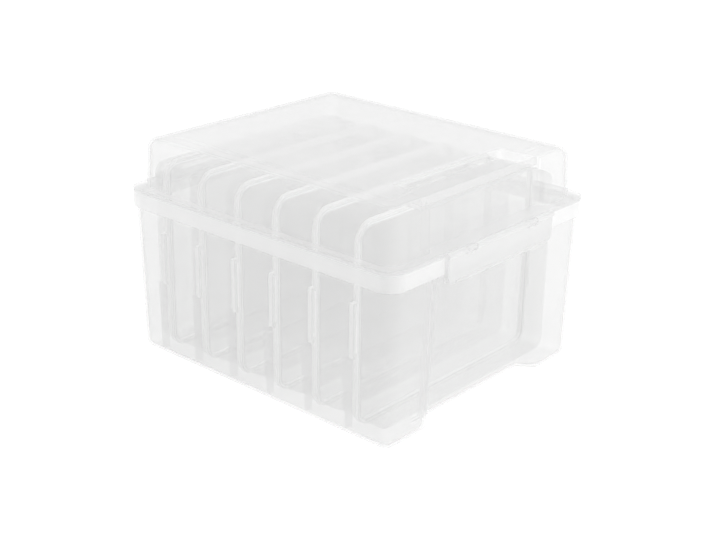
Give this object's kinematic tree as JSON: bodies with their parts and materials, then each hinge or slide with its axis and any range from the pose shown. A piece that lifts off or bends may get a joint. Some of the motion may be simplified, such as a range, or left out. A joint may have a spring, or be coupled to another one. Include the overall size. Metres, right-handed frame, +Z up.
{
  "type": "photo keeper case",
  "caption": "Clear plastic carry box with a hinged domed lid, a wide front latch and a recessed front, filled with upright two-part photo cases that lift out.",
  "frame": {"origin": "centre of the tub's flat underside, on the surface that the box stands on", "axes": "+X to the right seen from the front, -Y towards the latch and the recessed front, +Y towards the hinge, +Z up"},
  "size_m": [0.212, 0.2591, 0.16],
  "materials": {
    "tub_plastic": "milky clear polypropylene, satin",
    "lid_plastic": "milky clear polypropylene, gloss",
    "latch_plastic": "milky clear polypropylene, satin",
    "case_plastic": "milky clear polypropylene, gloss",
    "case_lid_plastic": "milky clear polypropylene, gloss"
  },
  "bodies": {
    "tub": {"tub": "tub_plastic"},
    "lid": {"lid": "lid_plastic"},
    "latch": {"latch": "latch_plastic"},
    "case_1": {"case_1_base": "case_plastic", "case_1_lid": "case_lid_plastic"},
    "case_2": {"case_2_base": "case_plastic", "case_2_lid": "case_lid_plastic"},
    "case_3": {"case_3_base": "case_plastic", "case_3_lid": "case_lid_plastic"},
    "case_4": {"case_4_base": "case_plastic", "case_4_lid": "case_lid_plastic"},
    "case_5": {"case_5_base": "case_plastic", "case_5_lid": "case_lid_plastic"},
    "case_6": {"case_6_base": "case_plastic", "case_6_lid": "case_lid_plastic"}
  },
  "joints": [
    {"name": "lid_hinge", "type": "hinge", "parent": "tub", "child": "lid", "pos_m": [0, 0.12715, 0.1216], "axis": [-1, 0, 0], "range_deg": [0, 110]},
    {"name": "latch_pivot", "type": "hinge", "parent": "lid", "child": "latch", "pos_m": [0, -0.12575, 0.1228], "axis": [-1, 0, 0], "range_deg": [0, 100]},
    {"name": "case_1_lift", "type": "slide", "parent": "tub", "child": "case_1", "axis": [0, 0, 1], "range_m": [0, 0.004]},
    {"name": "case_2_lift", "type": "slide", "parent": "tub", "child": "case_2", "axis": [0, 0, 1], "range_m": [0, 0.0115]},
    {"name": "case_3_lift", "type": "slide", "parent": "tub", "child": "case_3", "axis": [0, 0, 1], "range_m": [0, 0.0115]},
    {"name": "case_4_lift", "type": "slide", "parent": "tub", "child": "case_4", "axis": [0, 0, 1], "range_m": [0, 0.0115]},
    {"name": "case_5_lift", "type": "slide", "parent": "tub", "child": "case_5", "axis": [0, 0, 1], "range_m": [0, 0.0115]},
    {"name": "case_6_lift", "type": "slide", "parent": "tub", "child": "case_6", "axis": [0, 0, 1], "range_m": [0, 0.0115]}
  ]
}
